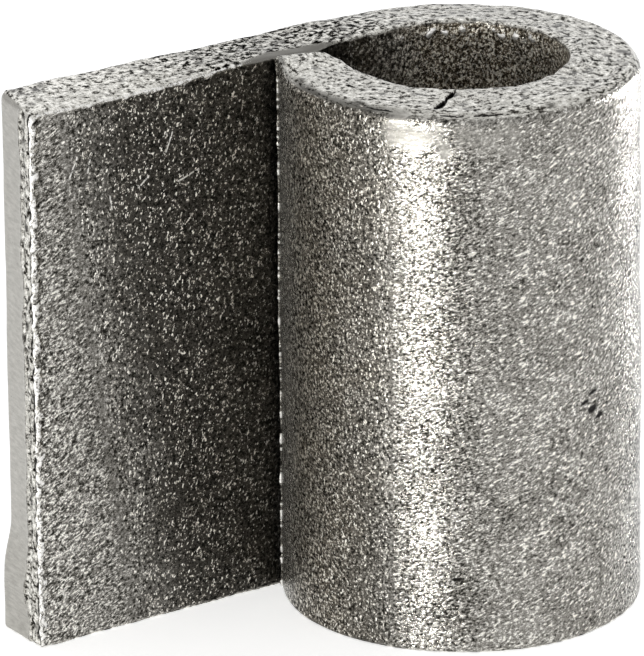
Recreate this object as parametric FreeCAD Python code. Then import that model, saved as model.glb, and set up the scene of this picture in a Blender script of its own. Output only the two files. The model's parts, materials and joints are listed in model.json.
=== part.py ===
"""Rolled leaf of a weld-on lift-off hinge.

One length of flat steel bar. It leaves the flat leaf and rolls round the pin to form the eye.
The roll keeps its outside round as far as the leaf, but the bar's last stretch stays straight on
the inside, so it thins towards its end and closes on the leaf with a hairline gap.
The eye's axis is Z, the leaf lies along -X, and its back face is square to +Y.
Millimetres and degrees.
"""
import FreeCAD, Part
import math
import os

Vector = FreeCAD.Vector

# Flat bar
strip_width = 40.0        # along the pin: the height of the leaf and of the eye
strip_thickness = 5.0

# Eye
pin_diameter = 15.0       # round bar that the eye drops over
pin_clearance = 0.4       # on the diameter, between that pin and the eye
bore_turn = 274.0         # how far the bore goes round before its wall runs straight
closing_gap = 0.2         # between the end of the bar and the leaf's front face
closing_slope = 24.0      # how steeply the bar's end falls away from the leaf, towards the bore
nose_radius = 1.2         # round on the outer corner of the bar's end

# Leaf
leaf_length = 31.0        # from the eye's axis to the free end, along the front face
shear_slant = 0.9         # how much shorter the back face is than the front one at the sheared end

# Edges left by cutting the blank: the outer face is drawn down at the top, all other edges are only broken
edge_drawdown = 0.9       # radius along the upper edge of the outer face
foot_break = 0.25         # radius along the lower edge of the outer face
end_drawdown = 0.6        # radius round the outer side of the leaf's free end
edge_break = 0.2          # chamfer along the upper and lower edges of the inner face

bore_radius = (pin_diameter + pin_clearance) / 2
outer_radius = bore_radius + strip_thickness

BORE_START = 90.0         # the bar's direction angle where it leaves the leaf, seen from above
TOLERANCE = 1e-4


def polar(radius, angle):
    """The point at an angle round the eye, in plan."""
    return Vector(radius * math.cos(math.radians(angle)), radius * math.sin(math.radians(angle)), 0)


def meeting(point, direction, other_point, other_direction):
    """Where two lines of the plan cross."""
    across = direction.cross(other_direction).z
    along = (other_point - point).cross(other_direction).z / across
    return point + direction * along


def plan_outline():
    """The bar seen from above: its outer side first, then its inner side, each from the leaf's free end."""
    free_front = Vector(-leaf_length, bore_radius, 0)
    free_back = Vector(-leaf_length + shear_slant, outer_radius, 0)
    eye_front = Vector(0, bore_radius, 0)
    eye_back = Vector(0, outer_radius, 0)

    bore_end_angle = BORE_START - bore_turn
    bore_middle = polar(bore_radius, BORE_START - bore_turn / 2)
    bore_end = polar(bore_radius, bore_end_angle)
    wall_direction = polar(1, bore_end_angle - 90)

    nose_y = bore_radius - closing_gap - nose_radius
    nose_reach = outer_radius - nose_radius
    nose_centre = Vector(-math.sqrt(nose_reach ** 2 - nose_y ** 2), nose_y, 0)
    nose_angle = math.degrees(math.atan2(nose_centre.y, nose_centre.x))
    nose_outer = polar(outer_radius, nose_angle)
    nose_top = nose_centre + Vector(0, nose_radius, 0)
    nose_inner = nose_centre + polar(nose_radius, 90 - closing_slope)
    end_inner = meeting(nose_inner, polar(1, -closing_slope), bore_end, wall_direction)
    outer_middle = polar(outer_radius, (BORE_START + nose_angle - 360) / 2)

    outer_side = [
        Part.LineSegment(free_back, eye_back),
        Part.Arc(eye_back, outer_middle, nose_outer),
        Part.Arc(nose_outer, nose_top, nose_inner),
        Part.LineSegment(nose_inner, end_inner),
    ]
    inner_side = [
        Part.LineSegment(free_front, eye_front),
        Part.Arc(eye_front, bore_middle, bore_end),
        Part.LineSegment(bore_end, end_inner),
    ]
    free_end = Part.LineSegment(free_front, free_back)
    return [[curve.toShape() for curve in side] for side in (outer_side, inner_side, [free_end])]


def rim_edges(solid, plan_edges, height):
    """The solid's edges at a height that lie on the given edges of the plan."""
    found = []
    for plan_edge in plan_edges:
        raised = plan_edge.copy()
        raised.translate(Vector(0, 0, height))
        middle = Part.Vertex(raised.valueAt((raised.FirstParameter + raised.LastParameter) / 2))
        found += [edge for edge in solid.Edges if edge.distToShape(middle)[0] < TOLERANCE]
    return found


def upright_edge(solid, corner):
    """The solid's upright edge that passes through a corner of the plan."""
    here = Part.Vertex(corner.x, corner.y, strip_width / 2)
    return next(edge for edge in solid.Edges if edge.distToShape(here)[0] < TOLERANCE)


def rolled_leaf():
    """The whole bar as one solid, with the edges that the blank's cutting left."""
    outer_side, inner_side, free_end = plan_outline()
    outline = Part.Wire(Part.sortEdges(outer_side + inner_side + free_end)[0])
    bar = Part.Face(outline).extrude(Vector(0, 0, strip_width))
    bar = bar.makeFillet(edge_drawdown, rim_edges(bar, outer_side, strip_width))
    bar = bar.makeChamfer(edge_break, rim_edges(bar, inner_side, strip_width) + rim_edges(bar, inner_side, 0))
    free_back = free_end[0].Vertexes[-1].Point
    bar = bar.makeFillet(end_drawdown, [upright_edge(bar, free_back)])
    return bar.makeFillet(foot_break, rim_edges(bar, outer_side, 0))


def main():
    os.makedirs("parts", exist_ok=True)
    bar = rolled_leaf()
    bar.exportStep(os.path.join("parts", "rolled_leaf.step"))
    print("valid", bar.isValid(), "solids", len(bar.Solids), "faces", len(bar.Faces), "volume %.1f" % bar.Volume)


main()
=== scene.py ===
"""The rolled eye leaf of a weld-on lift-off hinge, dressed as bare tumbled steel.

The leaf is one flat bar, so its mesh is made as a bar: a lattice over the bar's length s, its
thickness u and its width z, in millimetres, which is then rolled round the pin. s starts at the
leaf's free end, u is 0 on the face that looks into the eye, and z is the height above the floor.

Below, a ramp is a pair: where a share is 0 and where it is 1. A span is where a share is 1, from
and to, with the reach of its soft shoulders. A field is a wavelength, a depth and a random seed.
"""
import json
import math
from types import SimpleNamespace

import bpy
import numpy as np
from mathutils import Matrix, Vector


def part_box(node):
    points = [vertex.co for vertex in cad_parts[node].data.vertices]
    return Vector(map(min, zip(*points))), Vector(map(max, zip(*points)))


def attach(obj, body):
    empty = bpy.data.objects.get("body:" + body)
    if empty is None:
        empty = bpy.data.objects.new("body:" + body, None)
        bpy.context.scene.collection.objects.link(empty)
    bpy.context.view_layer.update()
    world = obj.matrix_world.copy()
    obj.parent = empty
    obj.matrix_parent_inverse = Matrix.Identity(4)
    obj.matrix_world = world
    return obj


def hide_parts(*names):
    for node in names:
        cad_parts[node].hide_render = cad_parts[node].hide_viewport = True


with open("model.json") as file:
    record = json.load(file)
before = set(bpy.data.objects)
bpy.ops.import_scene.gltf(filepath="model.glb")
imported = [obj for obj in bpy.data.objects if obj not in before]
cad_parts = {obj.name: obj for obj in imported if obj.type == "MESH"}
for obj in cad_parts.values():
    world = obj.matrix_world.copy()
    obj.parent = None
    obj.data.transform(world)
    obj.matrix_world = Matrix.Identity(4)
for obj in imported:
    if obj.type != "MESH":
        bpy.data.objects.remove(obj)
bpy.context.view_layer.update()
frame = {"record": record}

MM = 0.001

# Sizes from the frame, in millimetres
NODE = "rolled_leaf"
LOW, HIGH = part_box(NODE)
MOUNTS = {mount["name"]: mount for mount in frame["record"]["mounts"]}
BORE_RADIUS = MOUNTS["eye_bore"]["dims"]["r_mm"]
OUTER_RADIUS = MOUNTS["leaf_back"]["pos_m"][1] / MM
THICKNESS = OUTER_RADIUS - BORE_RADIUS
WIDTH = HIGH[2] / MM
LEAF_LENGTH = -LOW[0] / MM

# The roll, as in the solid, with a steeper end, which follows the photograph more closely
BORE_TURN = math.radians(274.0)
CLOSING_GAP = 0.2
CLOSING_SLOPE = math.radians(30.0)
SHEAR_SLANT = 0.9

# Radii of the cut blank's edges, and how far they reach
DRAWDOWN = 0.9                  # along the outer face's upper edge
END_DRAWDOWN = 0.7              # the same round the leaf's free end
CORNER_BREAK = 0.30             # the same at the rolled end, which is sharper
FOOT_BREAK = 0.25               # along the outer face's lower edge, which didn't draw down
EDGE_BREAK = 0.15               # along the long edges of the inner face
BURR_BREAK = 0.42               # the same at the leaf's free end, below its burr
NOSE_BREAK = 0.8                # the same at the rolled end
END_EDGE_RAMP = (1.4, 0.2)      # from the free end
TIP_EDGE_RAMP = (2.2, 0.3)      # from the rolled end
FOOT_EDGE_RAMP = (9.0, 3.0)     # from the floor

# What rolling left
RIM_SWELL = 0.15                # how far the eye's upper inner rim is lifted
RIM_FALL = 0.10                 # how far its outer rim is lowered
RING_RAMP = (LEAF_LENGTH - 9.0, LEAF_LENGTH + 3.0)  # from the leaf onto the ring
LEAF_FALL = 0.42                # how far the leaf's upper edge face falls to its front edge
FALL_REACH = 3.6                # how far back that fall starts
FALL_RAMP = (21.0, 9.0)         # towards the free end
BACK_LIFT = 0.20                # how far the leaf's upper back edge stands up
BACK_RAMP = (LEAF_LENGTH + 5.0, LEAF_LENGTH - 1.0)
FLARE = 0.30                    # how much wider the eye is rolled at its foot
FLARE_START = (36.0, 46.0)
FLARE_STOP = (72.0, 60.0)
TIP_LIFT = 0.20                 # how far the rolled end's top stands above the ring
TIP_LIFT_RAMP = (4.0, 0.3)      # from the rolled end
TIP_FLARE = 0.15                # how far its outer corner flares at the top
TIP_FLARE_RAMP = (1.3, 0.1)
TIP_FLARE_TOP = (WIDTH - 2.2, WIDTH - 0.6)
BAND_WIDTH = 0.7                # the band pressed into the leaf's upper front edge beside the rolled end
BAND_START = (16.0, 21.5)
BAND_STOP = (26.5, 23.5)
BAND_SLOPE = 0.3                # fall of the band for its width

# A field is made of many plane waves, whose lengths lie in a range about its own
WAVE_COUNT = 28
WAVE_SPREAD = (0.7, 1.4)

# What tumbling left: fields on each face
OUTER_DENTS = [(11.0, 0.03, 1), (3.0, 0.010, 2)]
INNER_DENTS = [(9.0, 0.03, 3), (2.5, 0.010, 4)]
TOP_DENTS = [(6.0, 0.04, 5), (1.6, 0.015, 6)]
BOTTOM_DENTS = [(5.0, 0.02, 7)]

# The sheared free end: a smooth cut, a fracture in front of it, a groove and a burr
SLANT_SHARE = 0.88              # share of the shear's slant that the end has
FOOT_REACH = 0.60               # share that is missing at its foot
FOOT_RAMP = (8.4, 4.6)          # from the floor
SLANT_RAMP = (6.0, 0.0)         # from the free end
RELIEF_RAMP = (0.7, 0.0)        # from the free end
FRACTURE_EDGE = 1.45            # from the front face
FRACTURE_WAVES = [(6.0, 0.10, 21), (1.2, 0.05, 22)]
FRACTURE_SPREAD = 0.6           # how much wider the fracture is near the foot
FRACTURE_SPREAD_PLACE = (3.6, 1.1)        # from the floor, and its reach
FRACTURE_SOFT = 0.08
FRACTURE_DEPTH = 0.11
FRACTURE_ROUGH = [(0.9, 0.03, 24)]
LIP = 0.05                      # stands up along the fracture's edge
LIP_PLACE = 0.1
GROOVE_PLACE = 0.40             # from the front face
GROOVE_WAVES = [(2.4, 0.04, 23)]
GROOVE_REACH = 0.09
GROOVE_DEPTH = 0.14
END_BURR = (0.08, 0.12)         # least height, and what is ragged on top of it
END_BURR_RAMP = (0.36, 0.1)

# Torn edges: the fields of a ragged line, and the seed of each line
RAGGED_MIDDLE = 0.5
RAGGED_MOST = 1.3
RAGGED_WAVES = [(2.2, 0.3, 0), (0.7, 0.3, 100)]
TIP_RAGS, FRONT_RAGS, CHIP_RAGS, EDGE_RAGS, END_RAGS = 11, 14, 15, 16, 25
TIP_BURR = 0.12                 # along the rolled end
TIP_BURR_RAMP = (0.47, 0.40)
EDGE_BURR = 0.07                # along the leaf's upper front edge
EDGE_BURR_REACH = (0.08, 0.28)  # least reach, and what is ragged on top of it
EDGE_BURR_SOFT = 0.1
EDGE_BURR_DEEP = (0.35, 0.1)
EDGE_BURR_RAMP = (21.0, 17.0)
FRONT_BURR = 0.12               # along the front of the free end
FRONT_BURR_REACH = (0.26, 0.44)
FRONT_BURR_SOFT = (0.15, -0.1)
FRONT_BURR_DEEP = (0.5, 0.2)
FLAKE = 0.32                    # on the bore's upper rim
FLAKE_WAVES = [(1.4, 1.0, 12)]
FLAKE_TEAR = (0.0, 0.8)
FLAKE_SPAN = (33.0, 44.0, 3.0)
FLAKE_BELOW = (0.0, 0.8)        # from the rim downwards
FLAKE_FOOT = (1.25, 0.95)
FLAKE_DEEP = (0.4, 0.0)
TOP_CHIP = 0.08                 # along the inner face's long edges
FOOT_CHIP = 0.05
CHIP_DEEP = (0.5, 0.0)
CHIP_FOOT = (0.5, 0.0)
CHIP_OFF_BAND = (0.1, 0.0)

# The crack in the ring's top: two runs, as (s, u) at both ends
CRACK = [((70.98, 3.95), (70.42, 2.05)), ((70.47, 2.15), (69.90, 0.45))]
CRACK_REACH = 0.26
CRACK_DEPTH = 0.45
CRACK_TAPER = 0.04              # what is left of its width, squared, at both ends

# Pitted spots on the eye's outer face, as s, z and reach
PITS = [(61.5, 17.7, 0.38), (61.1, 17.0, 0.3), (60.8, 16.4, 0.3), (62.0, 15.2, 0.25), (69.4, 5.6, 0.25)]
PIT_DEPTH = 0.15
PIT_WAVES = [(0.9, 0.5, 41)]
PIT_RAMP = (1.1, 0.5)

# Patches rubbed smooth on the eye, as s and z ranges, a share and a dullness
POLISHED = [(71.3, 73.0, 37.9, 39.2, 0.85, 0.0), (66.6, 69.2, 37.9, 38.9, 0.44, 0.25)]
POLISH_WAVES = [(1.6, 0.4, 31)]
POLISH_SOFT = (1.6, 1.2)        # reach of their soft shoulders along s and z

# Scratches on the leaf's front face, as (s, u, z) at both ends
SCRATCHES = [
    ((3.95, 0.0, 36.22), (3.35, 0.0, 34.96)),
    ((5.02, 0.0, 35.85), (4.83, 0.0, 34.94)),
    ((9.04, 0.0, 32.97), (9.89, 0.0, 33.68)),
    ((12.31, 0.0, 32.74), (14.01, 0.0, 33.20)),
    ((6.62, 0.0, 32.81), (6.76, 0.0, 31.83)),
    ((11.34, 0.0, 35.15), (11.87, 0.0, 36.51)),
]
SCRATCH_REACH = 0.085

# Nicks, with painted shade in them: on the ring's top, along its outer rim, and on the leaf beside the
# rolled end
NICKS = [
    ((72.70, 1.60, WIDTH), (72.00, 1.60, WIDTH)),
    ((68.75, 1.40, WIDTH), (68.20, 1.20, WIDTH)),
    ((63.75, 3.15, WIDTH), (63.05, 3.15, WIDTH)),
    ((67.95, 0.95, WIDTH), (67.50, 0.85, WIDTH)),
    ((75.00, 4.70, WIDTH), (73.40, 4.75, WIDTH)),
    ((70.50, 4.75, WIDTH), (69.30, 4.75, WIDTH)),
    ((68.60, 4.70, WIDTH), (67.00, 4.75, WIDTH)),
    ((19.10, 0.0, 30.70), (19.80, 0.0, 30.85)),
    ((19.90, 0.0, 29.60), (20.10, 0.0, 27.40)),
]
NICK_REACH = 0.13

# Faces, as ramps from their edges
INNER_FACE = (0.3, 0.0)
OUTER_FACE = (THICKNESS - 1.0, THICKNESS - 0.2)
TOP_FACE = (WIDTH - 0.3, WIDTH)
BOTTOM_FACE = (0.3, 0.0)
END_FACE = (0.25, 0.0)
TIP_FACE = (0.3, 0.0)

# Where the faces are burnished, scaled and torn, and where shade is painted in small marks
BURNISH_EDGE = (-0.05, 0.15)    # about the fracture's edge
PRESSED_EDGE = (-0.15, 0.15)    # about the edge of the pressed band
PRESSED_BAND = (0.1, 0.3)       # the width at which that band shows
BORE_RAMP = (LEAF_LENGTH - 6.0, LEAF_LENGTH + 4.0)
# The leaf's scale grows towards the rolled end, as real scale and as painted shade where the eye hides the
# light
LEAF_SCALE_AND_SHADE_RAMP = (-2.4, 15.0)       # along the leaf's front face
SCALE_TILT = 0.14               # how much sooner the leaf's scale starts towards the top
TIP_SCALE = 0.66                # on the eye towards the seam
TIP_SCALE_RAMP = (71.2, 75.0)
TIP_SCALE_LOSS = 0.36           # what of it is rubbed off beside the seam
TIP_LOSS_RAMP = (80.0, 83.0)
TOP_SCALE = 0.18                # on the leaf's cut edges
TOP_SCALE_START = (6.0, 18.0)
TOP_SCALE_STOP = (34.0, 28.0)
BORE_SCALE, PRESSED_SCALE, BURNISH_SCALE = 0.70, 0.93, 0.33
# The crack's darkening is painted shade, and the line behind the rolled end's burr is a painted shadow
CRACK_SHADE_RAMP = (0.0, 0.25)        # the depth at which the crack is dark
TIP_BURR_SHADOW = 0.8                  # the dark line behind the rolled end's burr
TIP_BURR_SHADOW_PLACE = (0.75, 0.10)   # from the rolled end, and its reach
TIP_BRIGHT_SPAN = (0.41, 0.50, 0.03)      # the bright burr, from the rolled end
TIP_BRIGHT_RAGS = (0.4, 0.8)
TIP_BRIGHT_TOP = (WIDTH - 0.6, WIDTH - 1.4)
FRONT_TORN, EDGE_TORN, FLAKE_TORN = 0.72, 0.68, 1.35

# Where the grain is rubbed down, dull and brown, and where shade and light are painted
EYE_RUB_SPAN = (60.0, 67.0, 4.0)          # down the eye's front
RING_RUB_RAMP = (26.0, 36.0)    # on the ring's top
LEAF_RUB, END_RUB = 0.7, 0.8    # on the front of the leaf's top, and on the free end
LEAF_RUB_DEEP = (2.8, 1.6)
LEAF_RUB_RAMP = (22.0, 14.0)
SEAM_RAMP = (72.5, 79.0)        # on the eye towards the seam
SEAM_MATT, SEAM_BROWN = 0.34, 0.36
# Painted shade on the leaf beside the rolled end, where the eye hides the light
SEAM_SHADES = [(1.0, (20.5, 26.0, 7.0)), (1.2, (20.4, 26.0, 1.6))]  # on the leaf beside the seam
# Painted lighter and darker tone, on the eye by the seam and on the leaf's top
TIP_LIGHT = 0.7                 # on the eye beside the seam
TIP_LIGHT_RAMP = (80.0, 83.0)
# Painted shade in a strip down the eye, beside its highlight
EYE_SHADE = 0.7                 # a strip down the eye's front
EYE_SHADE_SPAN = (68.8, 70.2, 0.8)
TOP_LIGHT = 1.5                 # on the leaf's top, near the free end
TOP_LIGHT_RAMP = (15.0, 7.0)
TOP_SHADE = 1.7                 # on the leaf's top, beside the rolled end
TOP_SHADE_SPAN = (18.0, 27.0, 6.0)

# Lattice steps, and the zones (from, to, step) that need finer ones
COARSE = {"s": 0.60, "u": 0.36, "z": 0.28}
FINE = 0.12
END_ZONE = 1.4
FLAKE_ZONE = (31.0, 46.0, 0.36)
CRACK_MARGIN, CRACK_STEP = 0.4, 0.09
TIP_ZONE = 1.8
TIP_BURR_ZONE, TIP_BURR_STEP = (0.55, 0.36), 0.035
U_ZONES = [(0.0, 0.15, 0.05), (0.15, 4.0, FINE), (4.0, THICKNESS, 0.15)]
RIM_ZONE = 1.0

# The grain of the tumbled steel: lengths along x, y and z in millimetres, and its slants
GRAIN_SLANT = math.radians(-24.0)
GRAIN_LEAN = math.radians(16.0)
ASLANT_GRAIN = (0.27, 0.27, 0.16)
UPRIGHT_GRAIN = (0.23, 0.23, 0.23)
# Painted glints: bright flecks in the colour that stand in for glints of light off the grain
LONG_GLINT = (0.52, 0.52, 0.22)
HIGH_GLINT = (0.19, 0.19, 0.32)
GRAIN_NOISE = (2.0, 0.8)        # detail and roughness
GLINT_NOISE = (1.0, 0.6)
GLINT_STARTS = {"worn": 0.61, "scale": 0.645, "matt": 0.58}
GLINT_FULL = 0.70               # the noise at which a glint is wholly bright
LEAN_RAMP = (0.36, 0.46)        # the scale at which the grain turns upright

# The other noises run in bar coordinates: lengths in millimetres, and scale, detail and roughness
FLAKY_LENGTHS = (1.5, 1.2, 1.2)
FLAKY_NOISE = (2.7, 3.0, 0.78)
BLOTCH_NOISE = (0.35, 4.0, 0.6)
TEAR_NOISE = (2.8, 4.0, 0.8)
TEAR_STRENGTH = 1.8
STREAK_LENGTHS = (4.0, 1.0, 0.25)
STREAK_NOISE = (1.0, 3.0, 0.6)
PORE_DENSITY, PORE_REACH = 1.3, 0.42
PORE_PULL = (1.0, 1.0, 1.0)     # how far the grain pulls pores out of round
PORE_BLOTCH = (0.40, 0.56)
CORE = 0.4                      # share of a spot's or line's reach that is wholly marked

# Shares of the finish, and of painted shade, that the mesh carries for the material
FINISHES = ("cut", "sheen", "scale", "dark", "burr", "brown", "rubbed", "gloom", "matt")

# How the noises make the tone
NOISE_MIDDLE = 0.5
CONTRAST = {"worn": 1.42, "rubbed": 0.92, "matt": 2.0, "cut": 2.1, "rubbed_cut": 1.25}
PAINTED_SHADING_STEP = 0.03               # how much one unit of shade lowers the tone
BLOTCH_TONE = 0.19              # how much blotches sway the tone
BLOTCH_SCALE, GRAIN_SCALE = 0.8, 0.8      # how much blotches and grain break the scale up
SCALED_RAMP = (0.50, 1.25)
TEAR_SHARE = 0.4                # how much tears shake the edges of burnished and dark places
BURNISHED_RAMP = (0.15, 0.95)
TORN_RAMP = (0.60, 0.80)
PAINTED_SHADE_RAMP = (0.35, 0.60)
GLINT_SHADE = 0.4               # how much one unit of shade hides the glints
SCRATCH_SHAKE = (0.12, 0.12, 0.12)
SCRATCH_TEAR = 0.3
SCRATCH_RAMP = (0.38, 0.48)
NICK_TEAR = 2.2
NICK_RAMP = (0.55, 0.85)

# Colours of the steel by tone
WORN_COLOURS = [
    (0.36, (0.016, 0.015, 0.012)),
    (0.43, (0.163, 0.155, 0.138)),
    (0.56, (0.310, 0.298, 0.275)),
    (0.62, (0.600, 0.588, 0.555)),
    (0.68, (0.950, 0.931, 0.880)),
]
CUT_COLOURS = [
    (0.35, (0.012, 0.010, 0.008)),
    (0.41, (0.140, 0.132, 0.115)),
    (0.46, (0.460, 0.449, 0.413)),
    (0.58, (0.610, 0.597, 0.553)),
    (0.67, (0.900, 0.885, 0.840)),
]
SCALE_COLOURS = [
    (0.34, (0.007, 0.007, 0.006)),
    (0.45, (0.043, 0.040, 0.034)),
    (0.66, (0.072, 0.066, 0.058)),
    (0.75, (0.640, 0.608, 0.540)),
]
BROWN_COLOURS = [
    (0.38, (0.030, 0.023, 0.014)),
    (0.54, (0.184, 0.145, 0.094)),
    (0.63, (0.340, 0.286, 0.204)),
    (0.69, (0.980, 0.935, 0.830)),
]
SHEEN_COLOURS = [(0.30, (0.37, 0.358, 0.328)), (0.7, (0.55, 0.536, 0.497))]
DULL_SHEEN = (0.12, 0.115, 0.105, 1)
DULL_SHEEN_SHARE = 0.9
# Colours of the painted glints
WORN_PAINTED_GLINT = (0.74, 0.72, 0.67, 1)
SCALE_PAINTED_GLINT = (0.95, 0.92, 0.85, 1)
PORE_COLOUR = (0.04, 0.037, 0.032, 1)
TORN_COLOUR = (0.90, 0.89, 0.87, 1)
SCRATCH_COLOUR = (0.80, 0.785, 0.75, 1)
# The colour of painted shade in cracks, grooves, pits and nicks
PAINTED_SHADE_COLOUR = (0.012, 0.011, 0.010, 1)

# Gloss and relief of the steel
ROUGHNESS = {"worn": 0.14, "scaled": 0.40, "burnished": 0.24, "torn": 0.5}
MATT_LOSS = 0.8                 # how much of the metal's reflection a matt face loses
MATT_GLOSS = 0.1                # how strongly what isn't metal reflects
GLANCING_RAMP = (0.33, 0.46)    # the tones that reflect less at a glancing angle
STREAK_RELIEF = 0.2             # height of the burnished streaks, as a share of the grain's
GRAIN_HEIGHT = 0.065 * MM

# Light: the room, and soft boxes as azimuth, elevation, distance, size, power and colour, with
# angles in degrees and lengths in metres
WORLD_LIGHT = 0.60              # what the room sheds on things
WORLD_WHITE = 0.90              # what it looks like, and how it is mirrored
LAMPS = {
    "key": (-64.2, 5, 0.24, (0.014, 0.06), 0.30, (1.0, 0.985, 0.93)),
    "rim": (92, 1, 0.30, (0.11, 0.04), 0.97, (1.0, 1.0, 1.0)),
    "back": (150, 30, 0.50, (0.40, 0.25), 0.06, (1.0, 1.0, 1.0)),
}
LAMP_TARGET = Vector((-0.005, 0.0, 0.02))

# Floor
FLOOR_HALF = 3.0                # half a side, in metres
FLOOR_COLOUR = (0.90, 0.90, 0.90, 1)
FLOOR_ROUGHNESS = 0.9
FLOOR_LIFT = 0.52               # light that the floor adds where it is looked at
WHITE = (1, 1, 1, 1)

# Camera, fitted to the photograph's 644 x 656 frame, in millimetres, degrees and pixels
FRAME_WIDTH = 644
FRAME_HEIGHT = 656
SENSOR = 36.0
FOCAL_PIXELS = 7450.0
CAMERA_DISTANCE = 523.0
CAMERA_AZIMUTH = -35.0
CAMERA_ELEVATION = 20.43
CAMERA_ROLL = -0.43
CLIP_START, CLIP_END = 0.01, 50.0         # in metres
TARGET = Vector((-10.0, 0.0, 20.0))
TARGET_PIXEL = (344.5, 352.8)


def polar(radius, angle):
    """The point at an angle round the eye, in plan."""
    return np.array([radius * math.cos(angle), radius * math.sin(angle)])


# The closing end in plan: where its straight inner wall starts, and its two end corners
BORE_END_ANGLE = math.pi / 2 - BORE_TURN
BORE_END = polar(BORE_RADIUS, BORE_END_ANGLE)
WALL_DIRECTION = polar(1.0, BORE_END_ANGLE - math.pi / 2)
OUTER_CORNER_Y = BORE_RADIUS - CLOSING_GAP
OUTER_CORNER_ANGLE = math.pi - math.asin(OUTER_CORNER_Y / OUTER_RADIUS) - 2 * math.pi
OUTER_CORNER = polar(OUTER_RADIUS, OUTER_CORNER_ANGLE)
END_DIRECTION = polar(1.0, -CLOSING_SLOPE)
WALL_LENGTH = np.linalg.solve(np.column_stack([WALL_DIRECTION, -END_DIRECTION]), OUTER_CORNER - BORE_END)[0]
EYE_LENGTH = BORE_TURN * (BORE_RADIUS + THICKNESS / 2)
EYE_END = LEAF_LENGTH + EYE_LENGTH
CLOSING_LENGTH = (WALL_LENGTH + OUTER_RADIUS * (BORE_END_ANGLE - OUTER_CORNER_ANGLE)) / 2
BAR_LENGTH = EYE_END + CLOSING_LENGTH


def stations(length, coarse, zones):
    """Lattice stations along one side: coarse steps, and finer ones in the zones (from, to, step)."""
    places = [0.0]
    while places[-1] < length:
        here = places[-1]
        places.append(here + min([coarse] + [fine for low, high, fine in zones if low <= here < high]))
    return np.array(places) * (length / places[-1])


def waves(points, wavelength, seed):
    """A smooth random field of unit strength: many plane waves of about one wavelength."""
    rng = np.random.default_rng(seed)
    directions = rng.normal(size=(WAVE_COUNT, points.shape[1]))
    directions /= np.linalg.norm(directions, axis=1)[:, None]
    lengths = wavelength * rng.uniform(*WAVE_SPREAD, size=WAVE_COUNT)
    phases = rng.uniform(0.0, 2 * math.pi, size=WAVE_COUNT)
    angles = points @ (directions / lengths[:, None]).T * 2 * math.pi + phases
    return np.cos(angles).sum(axis=1) * math.sqrt(2.0 / WAVE_COUNT)


def uneven(places, fields, seed=0):
    """The sum of random fields over one or two bar coordinates."""
    points = np.column_stack(places)
    return sum(depth * waves(points, wavelength, seed + own) for wavelength, depth, own in fields)


def smooth(value, low, high):
    """0 at low, 1 at high, and an S-curve between."""
    t = np.clip((value - low) / (high - low), 0.0, 1.0)
    return t * t * (3 - 2 * t)


def between(value, low, high, soft):
    """1 from low to high, with soft shoulders outside."""
    return smooth(value, low - soft, low) * smooth(value, high + soft, high)


def ridge(value, middle, reach):
    """1 at the middle, falling off to both sides."""
    return np.exp(-((value - middle) / reach) ** 2)


def box_lattice(s_stations, u_stations, z_stations):
    """The surface of a box lattice: vertex coordinates and quads that look outwards."""
    counts = (len(s_stations), len(u_stations), len(z_stations))
    shell = np.zeros(counts, dtype=bool)
    for axis in range(3):
        sides = [slice(None)] * 3
        sides[axis] = [0, counts[axis] - 1]
        shell[tuple(sides)] = True
    cells = np.argwhere(shell)
    index = np.full(counts, -1)
    index[shell] = np.arange(len(cells))
    bar = np.column_stack([s_stations[cells[:, 0]], u_stations[cells[:, 1]], z_stations[cells[:, 2]]])
    quads = []
    for axis in range(3):
        for end in (0, -1):
            side = np.take(index, end, axis=axis)
            corners = [side[:-1, :-1], side[1:, :-1], side[1:, 1:], side[:-1, 1:]]
            quad = np.stack(corners, axis=-1).reshape(-1, 4)
            outward = (axis == 1) == (end == 0)
            quads.append(quad if outward else quad[:, ::-1])
    return bar, np.concatenate(quads)


def edge_radius(s, u, z):
    """The radius of the bar's edges at a place: large on the outer face, where the blank drew down."""
    near_end = smooth(s, *END_EDGE_RAMP)
    near_tip = smooth(BAR_LENGTH - s, *TIP_EDGE_RAMP)
    inner = EDGE_BREAK + (BURR_BREAK - EDGE_BREAK) * near_end + (NOSE_BREAK - EDGE_BREAK) * near_tip
    outer = DRAWDOWN + (END_DRAWDOWN - DRAWDOWN) * near_end + (CORNER_BREAK - DRAWDOWN) * near_tip
    outer += (FOOT_BREAK - outer) * smooth(z, *FOOT_EDGE_RAMP)
    return inner + (outer - inner) * smooth(u, 0.0, THICKNESS)


def rounded(bar):
    """Rounds the box's edges and corners."""
    radius = edge_radius(*bar.T)[:, None]
    size = np.array([BAR_LENGTH, THICKNESS, WIDTH])
    reach = np.clip(1 - (size - bar) / radius, 0, 1) - np.clip(1 - bar / radius, 0, 1)
    length = np.maximum(np.linalg.norm(reach, axis=1), 1.0)[:, None]
    return bar + (reach / length - reach) * radius


def rolled(bar):
    """Rolls bar coordinates (s, u, z) into the part's own frame, in millimetres."""
    s, u, z = bar.T
    radius = BORE_RADIUS + u
    turn = np.clip((s - LEAF_LENGTH) / EYE_LENGTH, 0.0, 1.0) * BORE_TURN
    before = np.minimum(s - LEAF_LENGTH, 0.0)
    plan = np.column_stack([radius * np.sin(turn) + before, radius * np.cos(turn)])
    closing = s > EYE_END
    share = (s[closing] - EYE_END) / CLOSING_LENGTH
    inner = BORE_END + share[:, None] * WALL_LENGTH * WALL_DIRECTION
    angle = BORE_END_ANGLE + share * (OUTER_CORNER_ANGLE - BORE_END_ANGLE)
    outer = OUTER_RADIUS * np.column_stack([np.cos(angle), np.sin(angle)])
    plan[closing] = inner + (outer - inner) * (u[closing] / THICKNESS)[:, None]
    return np.column_stack([plan, z])


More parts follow.
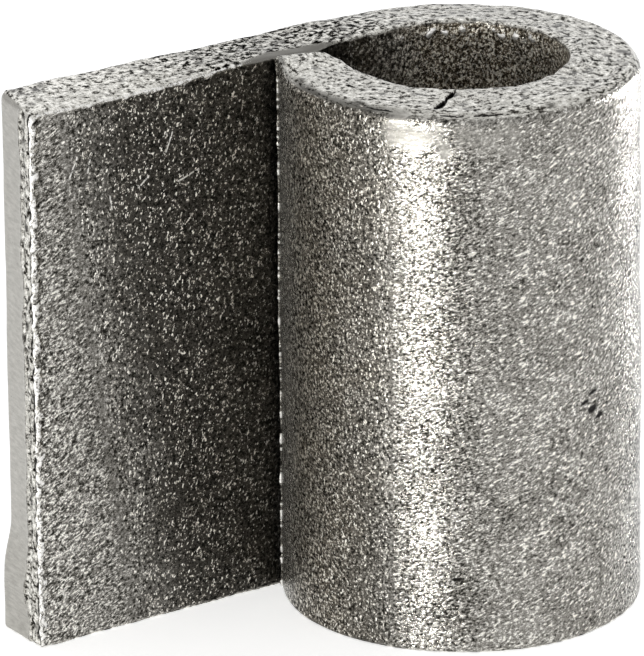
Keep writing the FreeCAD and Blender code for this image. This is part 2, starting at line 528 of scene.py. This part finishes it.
def top_relief(s, u):
    """How far the bar's upper edge face stands above its plane."""
    outward = u / THICKNESS
    relief = uneven([s, u], TOP_DENTS)
    relief += smooth(s, *RING_RAMP) * (RIM_SWELL - (RIM_SWELL + RIM_FALL) * outward)
    relief -= smooth(s, *FALL_RAMP) * LEAF_FALL * np.clip(1 - u / FALL_REACH, 0.0, 1.0) ** 2
    relief += BACK_LIFT * outward ** 2 * smooth(s, *BACK_RAMP)
    relief += TIP_LIFT * smooth(BAR_LENGTH - s, *TIP_LIFT_RAMP)
    relief -= BAND_SLOPE * np.clip(band_width(s) - u, 0.0, None)
    relief -= CRACK_DEPTH * crack_share(s, u)
    relief -= TOP_CHIP * chips(s, u)
    return relief


def outer_relief(s, z):
    """How far the bar's outer face stands proud, apart from the eye's flare."""
    tip = BAR_LENGTH - s
    relief = uneven([s, z], OUTER_DENTS) - PIT_DEPTH * pits(s, z)
    relief += TIP_BURR * (1 + ragged(z, TIP_RAGS)) * smooth(tip, *TIP_BURR_RAMP)
    relief += TIP_FLARE * smooth(tip, *TIP_FLARE_RAMP) * smooth(z, *TIP_FLARE_TOP)
    return relief


def inner_relief(s, u, z):
    """How far the bar's inner face is set back, apart from the eye's flare."""
    relief = uneven([s, z], INNER_DENTS)
    relief -= FLAKE * rim_flakes(s, z) * smooth(u, *FLAKE_DEEP)
    relief -= EDGE_BURR * edge_burr(s, u, z)
    relief += FOOT_CHIP * chips(s, u) * smooth(z, *CHIP_FOOT)
    return relief


def worn(bar, shaped):
    """Adds what rolling, shearing and tumbling left on the bar."""
    s, u, z = bar.T
    outward = u / THICKNESS
    upward = z / WIDTH
    flare = FLARE * (1 - upward) * smooth(s, *FLARE_START) * smooth(s, *FLARE_STOP)
    outer_move = flare + outer_relief(s, z)
    inner_move = flare + inner_relief(s, u, z)
    bottom_move = np.abs(uneven([s, u], BOTTOM_DENTS))
    slant = SHEAR_SLANT * (SLANT_SHARE - FOOT_REACH * smooth(z, *FOOT_RAMP))

    moved = shaped.copy()
    moved[:, 0] += slant * outward * smooth(s, *SLANT_RAMP)
    moved[:, 0] += shear_relief(u, z) * smooth(s, *RELIEF_RAMP)
    moved[:, 1] += inner_move + (outer_move - inner_move) * outward
    moved[:, 1] -= FRONT_BURR * front_burr(s, u, z)
    moved[:, 2] += bottom_move + (top_relief(s, u) - bottom_move) * upward
    return moved


def ragged(along, seed):
    """A torn edge's reach, about 0 to 1, at places along it."""
    return np.clip(RAGGED_MIDDLE + uneven([along], RAGGED_WAVES, seed), 0.0, RAGGED_MOST)


def band_width(s):
    """How far the pressed band reaches in from the leaf's upper front edge."""
    return BAND_WIDTH * smooth(s, *BAND_START) * smooth(s, *BAND_STOP)


def chips(s, u):
    """Chips along the inner face's long edges, from 0 off them to about 1 on them."""
    return ragged(s, CHIP_RAGS) * smooth(u, *CHIP_DEEP) * smooth(band_width(s), *CHIP_OFF_BAND)


def edge_burr(s, u, z):
    """The ragged burr along the leaf's upper front edge, from 0 off it to about 1 on it."""
    least, more = EDGE_BURR_REACH
    reach = least + more * ragged(s, EDGE_RAGS)
    burr = smooth(WIDTH - z, reach + EDGE_BURR_SOFT, reach - EDGE_BURR_SOFT)
    return burr * smooth(u, *EDGE_BURR_DEEP) * smooth(s, *EDGE_BURR_RAMP)


def front_burr(s, u, z):
    """The burr along the front of the leaf's free end, from 0 off it to about 1 on it."""
    least, more = FRONT_BURR_REACH
    reach = least + more * ragged(z, FRONT_RAGS)
    foot, crest = FRONT_BURR_SOFT
    return smooth(s, reach + foot, reach + crest) * smooth(u, *FRONT_BURR_DEEP)


def rim_flakes(s, z):
    """Torn flakes on the bore's upper rim, from 0 off them to 1 on them."""
    torn = smooth(uneven([s, z], FLAKE_WAVES), *FLAKE_TEAR)
    below = WIDTH - z
    return torn * between(s, *FLAKE_SPAN) * smooth(below, *FLAKE_BELOW) * smooth(below, *FLAKE_FOOT)


def crack_share(s, u):
    """The crack, as runs that taper to both ends: 0 off it and up to 1 along its middle."""
    share = np.zeros(len(s))
    place = np.column_stack([s, u])
    for first, last in np.array(CRACK):
        run = last - first
        along = np.clip((place - first) @ run / (run @ run), 0.0, 1.0)
        distance = np.linalg.norm(place - first - along[:, None] * run, axis=1)
        reach = CRACK_REACH * np.sqrt(np.maximum(4 * along * (1 - along), CRACK_TAPER))
        share = np.maximum(share, np.clip(1 - distance / reach, 0.0, 1.0))
    return share


def fracture_edge(z):
    """Where the shear's smooth cut gives way to its fracture, as a depth u from the front face."""
    spread = FRACTURE_SPREAD * ridge(z, *FRACTURE_SPREAD_PLACE)
    return FRACTURE_EDGE + uneven([z], FRACTURE_WAVES) + spread


def burr_groove(u, z):
    """The dark line at the foot of the burr on the leaf's free end."""
    return ridge(u, GROOVE_PLACE + uneven([z], GROOVE_WAVES), GROOVE_REACH)


def shear_relief(u, z):
    """How deep the leaf's free end lies at a place: cut, fracture, groove and burr."""
    edge = fracture_edge(z)
    fracture = smooth(u, edge + FRACTURE_SOFT, edge - FRACTURE_SOFT)
    least, more = END_BURR
    relief = fracture * (FRACTURE_DEPTH + uneven([u, z], FRACTURE_ROUGH))
    relief -= LIP * ridge(u, edge + LIP_PLACE, LIP_PLACE)
    relief += GROOVE_DEPTH * burr_groove(u, z)
    relief -= (least + more * ragged(z, END_RAGS)) * smooth(u, *END_BURR_RAMP)
    return relief


def pits(s, z):
    """The pitted spots of the eye's outer face, from 0 off them to 1 on them."""
    torn = uneven([s, z], PIT_WAVES)
    depth = np.zeros(len(s))
    for s_pit, z_pit, reach in PITS:
        away = np.hypot(s - s_pit, z - z_pit) / reach
        depth = np.maximum(depth, smooth(away + torn, *PIT_RAMP))
    return depth


def faces(bar):
    """The bar's coordinates, and which face each place is on, as shares from 0 to 1."""
    s, u, z = bar.T
    top = smooth(z, *TOP_FACE)
    free_end = smooth(s, *END_FACE)
    tip = BAR_LENGTH - s
    cut = np.maximum.reduce([top, smooth(z, *BOTTOM_FACE), free_end, smooth(tip, *TIP_FACE)])
    return SimpleNamespace(
        s=s, u=u, z=z, tip=tip, top=top, free_end=free_end, cut=cut, uncut=1 - cut,
        inner=smooth(u, *INNER_FACE), outer=smooth(u, *OUTER_FACE),
    )


def polish_masks(at):
    """The patches rubbed smooth on the eye: how smooth, and how dull they are."""
    polish = np.zeros(len(at.s))
    dull = np.zeros(len(at.s))
    ripple = uneven([at.s, at.z], POLISH_WAVES)
    s_soft, z_soft = POLISH_SOFT
    for s_low, s_high, z_low, z_high, share, dullness in POLISHED:
        patch = between(at.s + ripple, s_low, s_high, s_soft)
        patch *= between(at.z + ripple, z_low, z_high, z_soft)
        polish = np.maximum(polish, share * patch * at.outer)
        dull = np.maximum(dull, dullness * patch * at.outer)
    return polish, dull


def sheen_and_scale(at):
    """Where the bar is burnished, and where blackish scale is left on it, partly painted shade on the leaf.
    """
    polish, dull = polish_masks(at)
    edge = fracture_edge(at.z)
    burnish = at.free_end * smooth(at.u - edge, *BURNISH_EDGE)
    band = band_width(at.s)
    pressed = at.top * smooth(band - at.u, *PRESSED_EDGE) * smooth(band, *PRESSED_BAND)

    in_bore = smooth(at.s, *BORE_RAMP)
    tilted = at.s + SCALE_TILT * (at.z - WIDTH / 2)
    # Scale on the leaf's front face, partly painted shade towards the rolled end
    leaf_scale_and_shade = at.inner * smooth(tilted, *LEAF_SCALE_AND_SHADE_RAMP) * (1 - in_bore) * at.uncut
    bore = at.inner * in_bore * at.uncut
    tip_share = TIP_SCALE - TIP_SCALE_LOSS * smooth(at.s, *TIP_LOSS_RAMP)
    tip_scale = at.outer * smooth(at.s, *TIP_SCALE_RAMP) * tip_share
    top_scale = TOP_SCALE * at.cut * smooth(at.s, *TOP_SCALE_START) * smooth(at.s, *TOP_SCALE_STOP)
    bare_scale = np.maximum.reduce([leaf_scale_and_shade, BORE_SCALE * bore, tip_scale, top_scale])
    sheen_scale = np.maximum.reduce([PRESSED_SCALE * pressed, BURNISH_SCALE * burnish, dull])
    return np.maximum.reduce([polish, burnish, pressed]), np.maximum(bare_scale, sheen_scale), bore


def painted_shade_marks_mask(at):
    """Painted shade in the crack, the free end's groove and the pits; painted shadow behind the rolled
    end's burr.
    """
    return np.maximum.reduce([
        at.top * smooth(crack_share(at.s, at.u), *CRACK_SHADE_RAMP),
        at.free_end * burr_groove(at.u, at.z),
        at.outer * pits(at.s, at.z),
        TIP_BURR_SHADOW * at.outer * ridge(at.tip, *TIP_BURR_SHADOW_PLACE),
    ])


def burr_mask(at):
    """The bright torn edges: free end, rolled end, the leaf's upper front edge and the bore's rim."""
    tip_bright = between(at.tip, *TIP_BRIGHT_SPAN) * smooth(ragged(at.z, TIP_RAGS), *TIP_BRIGHT_RAGS)
    return np.maximum.reduce([
        FRONT_TORN * front_burr(at.s, at.u, at.z),
        at.outer * tip_bright * smooth(at.z, *TIP_BRIGHT_TOP),
        EDGE_TORN * edge_burr(at.s, at.u, at.z),
        FLAKE_TORN * at.inner * rim_flakes(at.s, at.z),
    ])


def rubbed_mask(at):
    """Where tumbling rubbed the grain down."""
    return np.maximum.reduce([
        at.outer * between(at.s, *EYE_RUB_SPAN) * at.uncut,
        at.top * smooth(at.s, *RING_RUB_RAMP),
        LEAF_RUB * at.top * smooth(at.u, *LEAF_RUB_DEEP) * smooth(at.s, *LEAF_RUB_RAMP),
        END_RUB * at.free_end,
    ])


def painted_shading_mask(at):
    """Painted shade: darker beside the seam and down the eye, lighter at the bar's ends."""
    seam = sum(share * between(at.s, *span) for share, span in SEAM_SHADES)
    gloom = at.inner * seam * at.uncut - TIP_LIGHT * at.outer * smooth(at.s, *TIP_LIGHT_RAMP) * at.uncut
    gloom += EYE_SHADE * at.outer * between(at.s, *EYE_SHADE_SPAN) * at.uncut
    gloom -= TOP_LIGHT * at.top * smooth(at.s, *TOP_LIGHT_RAMP)
    gloom += TOP_SHADE * at.top * between(at.s, *TOP_SHADE_SPAN)
    return gloom


def finish_masks(bar):
    """Where the bar is cut, burnished, scaled, torn and so on, and where shade is painted: shares for the
    material.
    """
    at = faces(bar)
    sheen, scale, bore = sheen_and_scale(at)
    near_seam = at.outer * smooth(at.s, *SEAM_RAMP) * at.uncut
    return {
        "cut": at.cut,
        "sheen": sheen,
        "scale": scale,
        "dark": painted_shade_marks_mask(at),
        "burr": burr_mask(at),
        "brown": np.maximum(bore, SEAM_BROWN * near_seam),
        "rubbed": rubbed_mask(at),
        "gloom": painted_shading_mask(at),
        "matt": np.maximum(bore, SEAM_MATT * near_seam),
    }


def bar_lattice():
    """The bar's lattice, finer along its edges and wherever it is torn."""
    burr_from, burr_to = TIP_BURR_ZONE
    s_stations = stations(BAR_LENGTH, COARSE["s"], [
        (0.0, END_ZONE, FINE),
        FLAKE_ZONE,
        (CRACK[1][1][0] - CRACK_MARGIN, CRACK[0][0][0] + CRACK_MARGIN, CRACK_STEP),
        (BAR_LENGTH - TIP_ZONE, BAR_LENGTH, FINE),
        (BAR_LENGTH - burr_from, BAR_LENGTH - burr_to, TIP_BURR_STEP),
    ])
    u_stations = stations(THICKNESS, COARSE["u"], U_ZONES)
    z_stations = stations(WIDTH, COARSE["z"], [(0.0, RIM_ZONE, FINE), (WIDTH - RIM_ZONE, WIDTH, FINE)])
    return box_lattice(s_stations, u_stations, z_stations)


def make_leaf():
    """The bar's mesh, with its strip coordinates, finish and painted shade kept for the material."""
    bar, quads = bar_lattice()
    points = rolled(worn(bar, rounded(bar))) * MM
    mesh = bpy.data.meshes.new("rolled_leaf_skin")
    mesh.from_pydata(points.tolist(), [], quads.tolist())
    strip = mesh.attributes.new("strip", "FLOAT_VECTOR", "POINT")
    strip.data.foreach_set("vector", bar.astype(np.float32).ravel())
    for name, share in finish_masks(bar).items():
        attribute = mesh.attributes.new(name, "FLOAT", "POINT")
        attribute.data.foreach_set("value", share.astype(np.float32))
    mesh.polygons.foreach_set("use_smooth", [True] * len(mesh.polygons))
    mesh.materials.append(steel_material())
    leaf = bpy.data.objects.new("rolled_leaf_skin", mesh)
    bpy.context.collection.objects.link(leaf)
    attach(leaf, "root")
    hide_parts(NODE)


class Shader:
    """A material's node tree, with short ways to add nodes to it."""

    def __init__(self, name):
        self.material = bpy.data.materials.new(name)
        self.material.use_nodes = True
        self.tree = self.material.node_tree
        self.sockets = self.tree.nodes["Principled BSDF"].inputs

    def add(self, kind, inputs=None, **settings):
        """Adds a node; an input is a value or another node's output."""
        node = self.tree.nodes.new(kind)
        for name, value in settings.items():
            setattr(node, name, value)
        for name, value in (inputs or {}).items():
            self.feed(node.inputs[name], value)
        return node

    def feed(self, socket, value):
        """Links another node's output to a socket, or sets the socket's own value."""
        if isinstance(value, bpy.types.NodeSocket):
            self.tree.links.new(value, socket)
        else:
            socket.default_value = value

    def attribute(self, name, output):
        return self.add("ShaderNodeAttribute", attribute_name=name).outputs[output]

    def math(self, operation, a, b=0.0, clamp=False):
        return self.add("ShaderNodeMath", {0: a, 1: b}, operation=operation, use_clamp=clamp).outputs[0]

    def plus(self, a, b, times=1.0):
        """a and b added, or a and a multiple of b."""
        return self.math("ADD", a, b if times == 1.0 else self.math("MULTIPLY", b, times))

    def vector(self, operation, a, b, output="Vector"):
        return self.add("ShaderNodeVectorMath", {0: a, 1: b}, operation=operation).outputs[output]

    def multiple(self, vector, factor):
        inputs = {0: vector, "Scale": factor}
        return self.add("ShaderNodeVectorMath", inputs, operation="SCALE").outputs["Vector"]

    def share(self, value, low, high):
        """0 at low and 1 at high, held outside."""
        inputs = {"Value": value, "From Min": low, "From Max": high}
        return self.add("ShaderNodeMapRange", inputs, clamp=True).outputs["Result"]

    def mix(self, share, a, b, kind="Color"):
        """What lies between two colours or, where the kind is Float, two numbers."""
        node = self.add("ShaderNodeMix", data_type={"Color": "RGBA"}.get(kind, kind.upper()))
        sockets = {socket.identifier: socket for socket in (*node.inputs, *node.outputs)}
        self.feed(sockets["Factor_Float"], share)
        self.feed(sockets["A_" + kind], a)
        self.feed(sockets["B_" + kind], b)
        return sockets["Result_" + kind]

    def blend(self, share, a, b):
        return self.mix(share, a, b, "Float")

    def noise(self, vector, scale, detail, roughness):
        inputs = {"Vector": vector, "Scale": scale, "Detail": detail, "Roughness": roughness}
        return self.add("ShaderNodeTexNoise", inputs).outputs["Fac"]

    def ramp(self, value, stops):
        node = self.add("ShaderNodeValToRGB", {"Fac": value})
        elements = node.color_ramp.elements
        elements.remove(elements[1])
        elements[0].position = stops[0][0]
        elements[0].color = (*stops[0][1], 1.0)
        for place, colour in stops[1:]:
            elements.new(place).color = (*colour, 1.0)
        return node.outputs["Color"]


def line_share(steel, strip, lines, reach):
    """1 on the lines and 0 off them."""
    total = 0.0
    for first, last in lines:
        run = Vector(last) - Vector(first)
        offset = steel.vector("SUBTRACT", strip, first)
        along = steel.vector("DOT_PRODUCT", offset, run / run.length_squared, "Value")
        foot = steel.multiple(run, steel.math("ADD", along, clamp=True))
        distance = steel.vector("DISTANCE", offset, foot, "Value")
        total = steel.math("MAXIMUM", total, steel.share(distance, reach, CORE * reach))
    return total


def spots(steel, place, density, reach):
    """1 in small scattered spots and 0 elsewhere."""
    inputs = {"Vector": place, "Scale": density, "Randomness": 1.0}
    distance = steel.add("ShaderNodeTexVoronoi", inputs).outputs["Distance"]
    return steel.share(distance, reach, CORE * reach)


def measured(steel, place, lengths, slant=0.0):
    """The place counted in the lengths, along axes that lean by the slant."""
    inputs = {"Vector": place, "Rotation": (0.0, slant, 0.0), "Scale": lengths}
    return steel.add("ShaderNodeMapping", inputs, vector_type="TEXTURE").outputs["Vector"]


def grain_noise(steel, metres, lengths, slant, detail, roughness):
    """Noise whose grains have the given lengths in millimetres."""
    place = measured(steel, metres, [length * MM for length in lengths], slant)
    return steel.noise(place, 1.0, detail, roughness)


def steel_noises(steel, strip, finish):
    """Grain and painted glints, aslant on worn faces and upright under scale, and the other noises."""
    metres = steel.add("ShaderNodeTexCoord").outputs["Object"]
    flaky = measured(steel, strip, FLAKY_LENGTHS)
    lean = steel.share(finish.scale, *LEAN_RAMP)
    aslant = grain_noise(steel, metres, ASLANT_GRAIN, GRAIN_SLANT, *GRAIN_NOISE)
    upright = grain_noise(steel, metres, UPRIGHT_GRAIN, GRAIN_LEAN, *GRAIN_NOISE)
    rolled_grain = steel.blend(lean, aslant, upright)
    grain = steel.blend(finish.cut, rolled_grain, steel.noise(flaky, *FLAKY_NOISE))

    long_glint = grain_noise(steel, metres, LONG_GLINT, GRAIN_SLANT, *GLINT_NOISE)
    high_glint = grain_noise(steel, metres, HIGH_GLINT, GRAIN_LEAN, *GLINT_NOISE)
    start = steel.blend(lean, GLINT_STARTS["worn"], GLINT_STARTS["scale"])
    start = steel.blend(finish.matt, start, GLINT_STARTS["matt"])
    painted_glint = steel.share(steel.blend(lean, long_glint, high_glint), start, GLINT_FULL)

    tear = steel.math("SUBTRACT", steel.noise(strip, *TEAR_NOISE), NOISE_MIDDLE)
    blotch = steel.noise(strip, *BLOTCH_NOISE)
    pore_place = steel.vector("ADD", flaky, steel.multiple(PORE_PULL, grain))
    pore = spots(steel, pore_place, PORE_DENSITY, PORE_REACH)
    return SimpleNamespace(
        lean=lean,
        grain=grain,
        painted_glint=painted_glint,
        blotch=steel.math("SUBTRACT", blotch, NOISE_MIDDLE),
        tear=steel.math("MULTIPLY", tear, TEAR_STRENGTH),
        streak=steel.noise(measured(steel, strip, STREAK_LENGTHS), *STREAK_NOISE),
        pore=steel.math("MULTIPLY", pore, steel.share(blotch, *PORE_BLOTCH)),
    )


def steel_tone(steel, finish, noises):
    """How light the steel is at a place, about a middle of 0.5."""
    contrast = steel.blend(finish.rubbed, CONTRAST["worn"], CONTRAST["rubbed"])
    contrast = steel.blend(finish.matt, contrast, CONTRAST["matt"])
    cut_contrast = steel.blend(finish.rubbed, CONTRAST["cut"], CONTRAST["rubbed_cut"])
    contrast = steel.blend(finish.cut, contrast, cut_contrast)
    stark = steel.math("MULTIPLY", steel.math("SUBTRACT", noises.grain, NOISE_MIDDLE), contrast)
    # Painted shade lowers the tone, and raises it where it is below 0
    level = steel.plus(NOISE_MIDDLE, finish.gloom, -PAINTED_SHADING_STEP)
    return steel.plus(steel.plus(stark, level), noises.blotch, BLOTCH_TONE)


def deep_marks(steel, strip, finish, noises):
    """The shares of bright scratches, and of painted shade in cracks, pits and nicks, all with shaken
    edges.
    """
    wobbly = steel.vector("ADD", strip, steel.multiple(SCRATCH_SHAKE, noises.tear))
    broken = steel.share(steel.plus(noises.grain, noises.tear, SCRATCH_TEAR), *SCRATCH_RAMP)
    scratch = steel.math("MULTIPLY", line_share(steel, wobbly, SCRATCHES, SCRATCH_REACH), broken)
    nick = steel.plus(line_share(steel, wobbly, NICKS, NICK_REACH), noises.tear, NICK_TEAR)
    painted_deep_shade = steel.share(steel.plus(finish.dark, noises.tear, TEAR_SHARE), *PAINTED_SHADE_RAMP)
    return scratch, steel.math("MAXIMUM", painted_deep_shade, steel.share(nick, *NICK_RAMP))


def steel_colour(steel, strip, tone, finish, noises):
    """Worn grain, painted glints, blackish scale where tumbling didn't reach, burnished cuts, torn edges,
    painted shade.
    """
    dull = steel.mix(finish.brown, steel.ramp(tone, SCALE_COLOURS), steel.ramp(tone, BROWN_COLOURS))
    bare = steel.mix(finish.cut, steel.ramp(tone, WORN_COLOURS), steel.ramp(tone, CUT_COLOURS))
    colour = steel.mix(finish.scaled, bare, dull)
    # Painted glints, hidden on cut faces and where shade is painted
    hidden = steel.plus(finish.cut, finish.gloom, GLINT_SHADE)
    painted_glint = steel.math("MULTIPLY", noises.painted_glint, steel.math("SUBTRACT", 1.0, hidden, clamp=True))
    colour = steel.mix(painted_glint, colour, steel.mix(noises.lean, WORN_PAINTED_GLINT, SCALE_PAINTED_GLINT))
    colour = steel.mix(steel.math("MULTIPLY", noises.pore, finish.cut), colour, PORE_COLOUR)
    sheen_light = steel.ramp(noises.streak, SHEEN_COLOURS)
    sheen = steel.mix(steel.math("MULTIPLY", finish.scale, DULL_SHEEN_SHARE), sheen_light, DULL_SHEEN)
    colour = steel.mix(finish.burnished, colour, sheen)
    colour = steel.mix(finish.torn, colour, TORN_COLOUR)
    scratch, painted_deep_shade = deep_marks(steel, strip, finish, noises)
    colour = steel.mix(scratch, colour, SCRATCH_COLOUR)
    # Painted shade in cracks, grooves, pits and nicks, and a painted shadow behind the rolled end's burr
    return steel.mix(painted_deep_shade, colour, PAINTED_SHADE_COLOUR)


def steel_material():
    """Tumbled bare steel, by the finish and the painted shade that the mesh carries."""
    steel = Shader("bare_steel_skin")
    strip = steel.attribute("strip", "Vector")
    finish = SimpleNamespace(**{name: steel.attribute(name, "Fac") for name in FINISHES})
    noises = steel_noises(steel, strip, finish)
    patchy = steel.plus(steel.plus(finish.scale, noises.blotch, BLOTCH_SCALE), noises.grain, GRAIN_SCALE)
    finish.scaled = steel.share(patchy, *SCALED_RAMP)
    finish.burnished = steel.share(steel.plus(finish.sheen, noises.tear, TEAR_SHARE), *BURNISHED_RAMP)
    finish.torn = steel.share(steel.plus(finish.burr, noises.tear), *TORN_RAMP)

    roughness = steel.blend(finish.scaled, ROUGHNESS["worn"], ROUGHNESS["scaled"])
    roughness = steel.blend(finish.burnished, roughness, ROUGHNESS["burnished"])
    roughness = steel.blend(finish.torn, roughness, ROUGHNESS["torn"])
    metal = steel.math("MAXIMUM", finish.torn, noises.painted_glint)
    matt_share = steel.math("MULTIPLY", finish.matt, steel.blend(metal, MATT_LOSS, 0.0))
    tone = steel_tone(steel, finish, noises)
    smoothed = steel.math("MAXIMUM", finish.burnished, finish.torn)
    glancing = steel.math("MAXIMUM", steel.share(tone, *GLANCING_RAMP), smoothed)
    streaks = steel.math("MULTIPLY", noises.streak, STREAK_RELIEF)
    relief = steel.blend(finish.burnished, noises.grain, streaks)
    bump = steel.add("ShaderNodeBump", {"Height": relief, "Strength": 1.0, "Distance": GRAIN_HEIGHT})
    steel.feed(steel.sockets["Base Color"], steel_colour(steel, strip, tone, finish, noises))
    steel.feed(steel.sockets["Specular Tint"], glancing)
    steel.feed(steel.sockets["Specular IOR Level"], MATT_GLOSS)
    steel.feed(steel.sockets["Metallic"], steel.math("SUBTRACT", 1.0, matt_share))
    steel.feed(steel.sockets["Roughness"], roughness)
    steel.feed(steel.sockets["Normal"], bump.outputs["Normal"])
    return steel.material


def seen_directly(tree):
    """1 for rays from the camera and for reflected and refracted ones, 0 for light that falls on things."""
    path = tree.nodes.new("ShaderNodeLightPath")
    total = path.outputs["Is Camera Ray"]
    for name in ("Is Glossy Ray", "Is Transmission Ray"):
        either = tree.nodes.new("ShaderNodeMath")
        either.operation = "MAXIMUM"
        tree.links.new(total, either.inputs[0])
        tree.links.new(path.outputs[name], either.inputs[1])
        total = either.outputs[0]
    return total


def make_floor():
    """A pale floor that keeps the shadow, lifted to white where it is looked at."""
    corners = [(x * FLOOR_HALF, y * FLOOR_HALF, 0) for x, y in ((-1, -1), (1, -1), (1, 1), (-1, 1))]
    mesh = bpy.data.meshes.new("floor")
    mesh.from_pydata(corners, [], [(0, 1, 2, 3)])
    floor = bpy.data.objects.new("floor", mesh)
    bpy.context.collection.objects.link(floor)
    white = Shader("floor_white")
    white.feed(white.sockets["Base Color"], FLOOR_COLOUR)
    white.feed(white.sockets["Roughness"], FLOOR_ROUGHNESS)
    white.feed(white.sockets["Specular IOR Level"], 0.0)
    white.feed(white.sockets["Emission Color"], WHITE)
    lift = white.math("MULTIPLY", seen_directly(white.tree), FLOOR_LIFT)
    white.feed(white.sockets["Emission Strength"], lift)
    mesh.materials.append(white.material)


def bearing(azimuth, elevation):
    """The direction from the part towards a lamp or the camera, by angles in degrees."""
    a = math.radians(azimuth)
    e = math.radians(elevation)
    return Vector((math.sin(a) * math.cos(e), -math.cos(a) * math.cos(e), math.sin(e)))


def area_lamp(name, azimuth, elevation, distance, size, power, colour):
    """A soft box that looks at the part."""
    light = bpy.data.lights.new(name, "AREA")
    light.shape = "RECTANGLE"
    light.size, light.size_y = size
    light.energy = power
    light.color = colour
    lamp = bpy.data.objects.new(name, light)
    bpy.context.collection.objects.link(lamp)
    lamp.location = LAMP_TARGET + distance * bearing(azimuth, elevation)
    lamp.rotation_euler = (LAMP_TARGET - lamp.location).to_track_quat("-Z", "Y").to_euler()
    lamp.visible_camera = False


def make_lights():
    """A pale room, which looks white, and soft boxes to the left, the right and behind."""
    world = bpy.context.scene.world or bpy.data.worlds.new("studio")
    bpy.context.scene.world = world
    world.use_nodes = True
    tree = world.node_tree
    background = tree.nodes["Background"]
    background.inputs["Color"].default_value = WHITE
    strength = tree.nodes.new("ShaderNodeMapRange")
    strength.inputs["To Min"].default_value = WORLD_LIGHT
    strength.inputs["To Max"].default_value = WORLD_WHITE
    tree.links.new(seen_directly(tree), strength.inputs["Value"])
    tree.links.new(strength.outputs["Result"], background.inputs["Strength"])
    for name, lamp in LAMPS.items():
        area_lamp(name, *lamp)


def make_camera():
    """A long lens at the photograph's angle, with the target at its pixel of the frame."""
    roll = math.radians(CAMERA_ROLL)
    back = bearing(CAMERA_AZIMUTH, CAMERA_ELEVATION)
    level_right = (-back).cross(Vector((0, 0, 1))).normalized()
    level_up = level_right.cross(-back)
    right = level_right * math.cos(roll) + level_up * math.sin(roll)
    up = level_up * math.cos(roll) - level_right * math.sin(roll)
    scale = CAMERA_DISTANCE / FOCAL_PIXELS
    aim_point = TARGET + right * ((FRAME_WIDTH / 2 - TARGET_PIXEL[0]) * scale)
    aim_point += up * ((TARGET_PIXEL[1] - FRAME_HEIGHT / 2) * scale)
    data = bpy.data.cameras.new("camera")
    data.sensor_width = SENSOR
    data.lens = FOCAL_PIXELS / max(FRAME_WIDTH, FRAME_HEIGHT) * SENSOR
    data.clip_start = CLIP_START
    data.clip_end = CLIP_END
    camera = bpy.data.objects.new("camera", data)
    bpy.context.collection.objects.link(camera)
    turn = Matrix((right, up, back)).transposed()
    camera.matrix_world = Matrix.Translation((aim_point + back * CAMERA_DISTANCE) * MM) @ turn.to_4x4()
    bpy.context.scene.camera = camera


bpy.context.scene.view_settings.view_transform = "Standard"
make_leaf()
make_floor()
make_lights()
make_camera()
